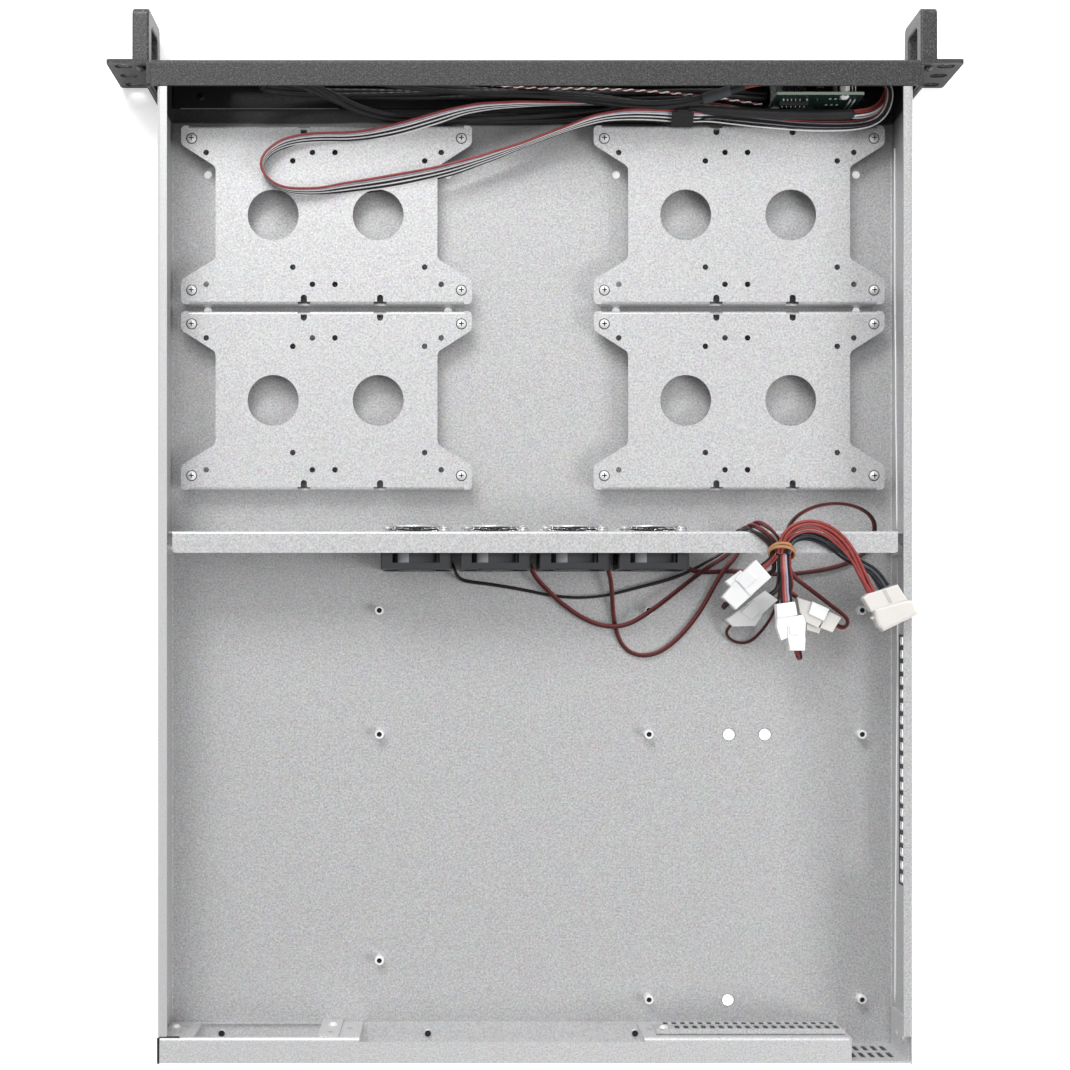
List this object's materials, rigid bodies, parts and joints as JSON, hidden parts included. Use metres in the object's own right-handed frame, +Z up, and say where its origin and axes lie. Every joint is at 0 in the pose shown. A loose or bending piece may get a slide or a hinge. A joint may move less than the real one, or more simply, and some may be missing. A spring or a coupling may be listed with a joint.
{
  "type": "empty rackmount server case",
  "caption": "Low open-topped rackmount server case with rack ears, handles, drive brackets, a fan wall with guarded fans, board standoffs and loose cables.",
  "frame": {"origin": "middle of the footprint, on the plane of the case's underside", "axes": "+X to the right seen from the front, +Y backwards (the panel with ears and handles faces -Y), +Z up"},
  "size_m": [0.4826, 0.596, 0.0533],
  "materials": {
    "zinc_sheet": "galvanised, fine grain",
    "panel_paint": "fine textured powder coat",
    "handle_paint": "satin coat",
    "plated_screw": "bright zinc plating",
    "circuit_board": "dark green solder mask",
    "port_shell": "tinned shell",
    "black_plastic": "satin",
    "grey_button": "satin",
    "led_lens": "clear lens",
    "fan_plastic": "satin moulded",
    "guard_wire": "bright plated wire",
    "band_rubber": "tan rubber",
    "ivory_plastic": "natural nylon",
    "white_plastic": "white nylon",
    "wire_red_black": "red and black insulated pair",
    "wire_red": "red insulation",
    "wire_black": "black insulation",
    "wire_red_white": "twisted red and white insulation",
    "ribbon_grey": "flat cable with a red edge"
  },
  "bodies": {
    "case": {"black_cable_1": "wire_black", "black_cable_2": "wire_black", "board_standoffs": "plated_screw", "bracket_screws": "plated_screw", "bracket_standoffs": "plated_screw", "chassis_rivets": "plated_screw", "chassis_screws": "plated_screw", "chassis_tray": "zinc_sheet", "control_board": "circuit_board", "drive_bracket_1": "zinc_sheet", "drive_bracket_2": "zinc_sheet", "drive_bracket_3": "zinc_sheet", "drive_bracket_4": "zinc_sheet", "ear_screws": "plated_screw", "expansion_slot_cover": "zinc_sheet", "fan_connector_1": "white_plastic", "fan_connector_2": "white_plastic", "fan_connector_3": "white_plastic", "fan_connector_4": "white_plastic", "fan_guard_1": "guard_wire", "fan_guard_2": "guard_wire", "fan_guard_3": "guard_wire", "fan_guard_4": "guard_wire", "fan_housing_1": "fan_plastic", "fan_housing_2": "fan_plastic", "fan_housing_3": "fan_plastic", "fan_housing_4": "fan_plastic", "fan_lead_1": "wire_red_black", "fan_lead_2": "wire_red_black", "fan_lead_3": "wire_red_black", "fan_lead_4": "wire_red_black", "fan_screws": "plated_screw", "fan_wall": "zinc_sheet", "front_panel": "panel_paint", "handle_left": "handle_paint", "handle_right": "handle_paint", "harness_leg_1": "wire_red_black", "harness_leg_2": "wire_red_black", "harness_leg_3": "wire_red_black", "harness_leg_4": "wire_red_black", "led_indicators": "led_lens", "motherboard_standoffs": "plated_screw", "panel_switches": "black_plastic", "power_cable_black": "wire_black", "power_cable_red": "wire_red", "power_plug": "ivory_plastic", "psu_bracket": "zinc_sheet", "rack_ear_left": "panel_paint", "rack_ear_right": "panel_paint", "rear_panel": "zinc_sheet", "ribbon_cable": "ribbon_grey", "rubber_band": "band_rubber", "twisted_pair": "wire_red_white", "usb_port": "port_shell"},
    "fan_rotor_1": {"fan_rotor_1": "fan_plastic"},
    "fan_rotor_2": {"fan_rotor_2": "fan_plastic"},
    "fan_rotor_3": {"fan_rotor_3": "fan_plastic"},
    "fan_rotor_4": {"fan_rotor_4": "fan_plastic"},
    "power_button": {"power_button": "grey_button"},
    "reset_button": {"reset_button": "grey_button"}
  },
  "joints": [
    {"name": "fan_spin_1", "type": "hinge", "parent": "case", "child": "fan_rotor_1", "pos_m": [0.06705, 0.008, 0.0215], "axis": [0, 1, 0], "continuous": true},
    {"name": "fan_spin_2", "type": "hinge", "parent": "case", "child": "fan_rotor_2", "pos_m": [0.02235, 0.008, 0.0215], "axis": [0, 1, 0], "continuous": true},
    {"name": "fan_spin_3", "type": "hinge", "parent": "case", "child": "fan_rotor_3", "pos_m": [-0.02235, 0.008, 0.0215], "axis": [0, 1, 0], "continuous": true},
    {"name": "fan_spin_4", "type": "hinge", "parent": "case", "child": "fan_rotor_4", "pos_m": [-0.06705, 0.008, 0.0215], "axis": [0, 1, 0], "continuous": true},
    {"name": "power_button_press", "type": "slide", "parent": "case", "child": "power_button", "axis": [0, 1, 0], "range_m": [0, 0.0008], "stiffness_N_per_m": 1500, "springref_m": -0.0003},
    {"name": "reset_button_press", "type": "slide", "parent": "case", "child": "reset_button", "axis": [0, 1, 0], "range_m": [0, 0.0006], "stiffness_N_per_m": 1500, "springref_m": -0.0003}
  ]
}
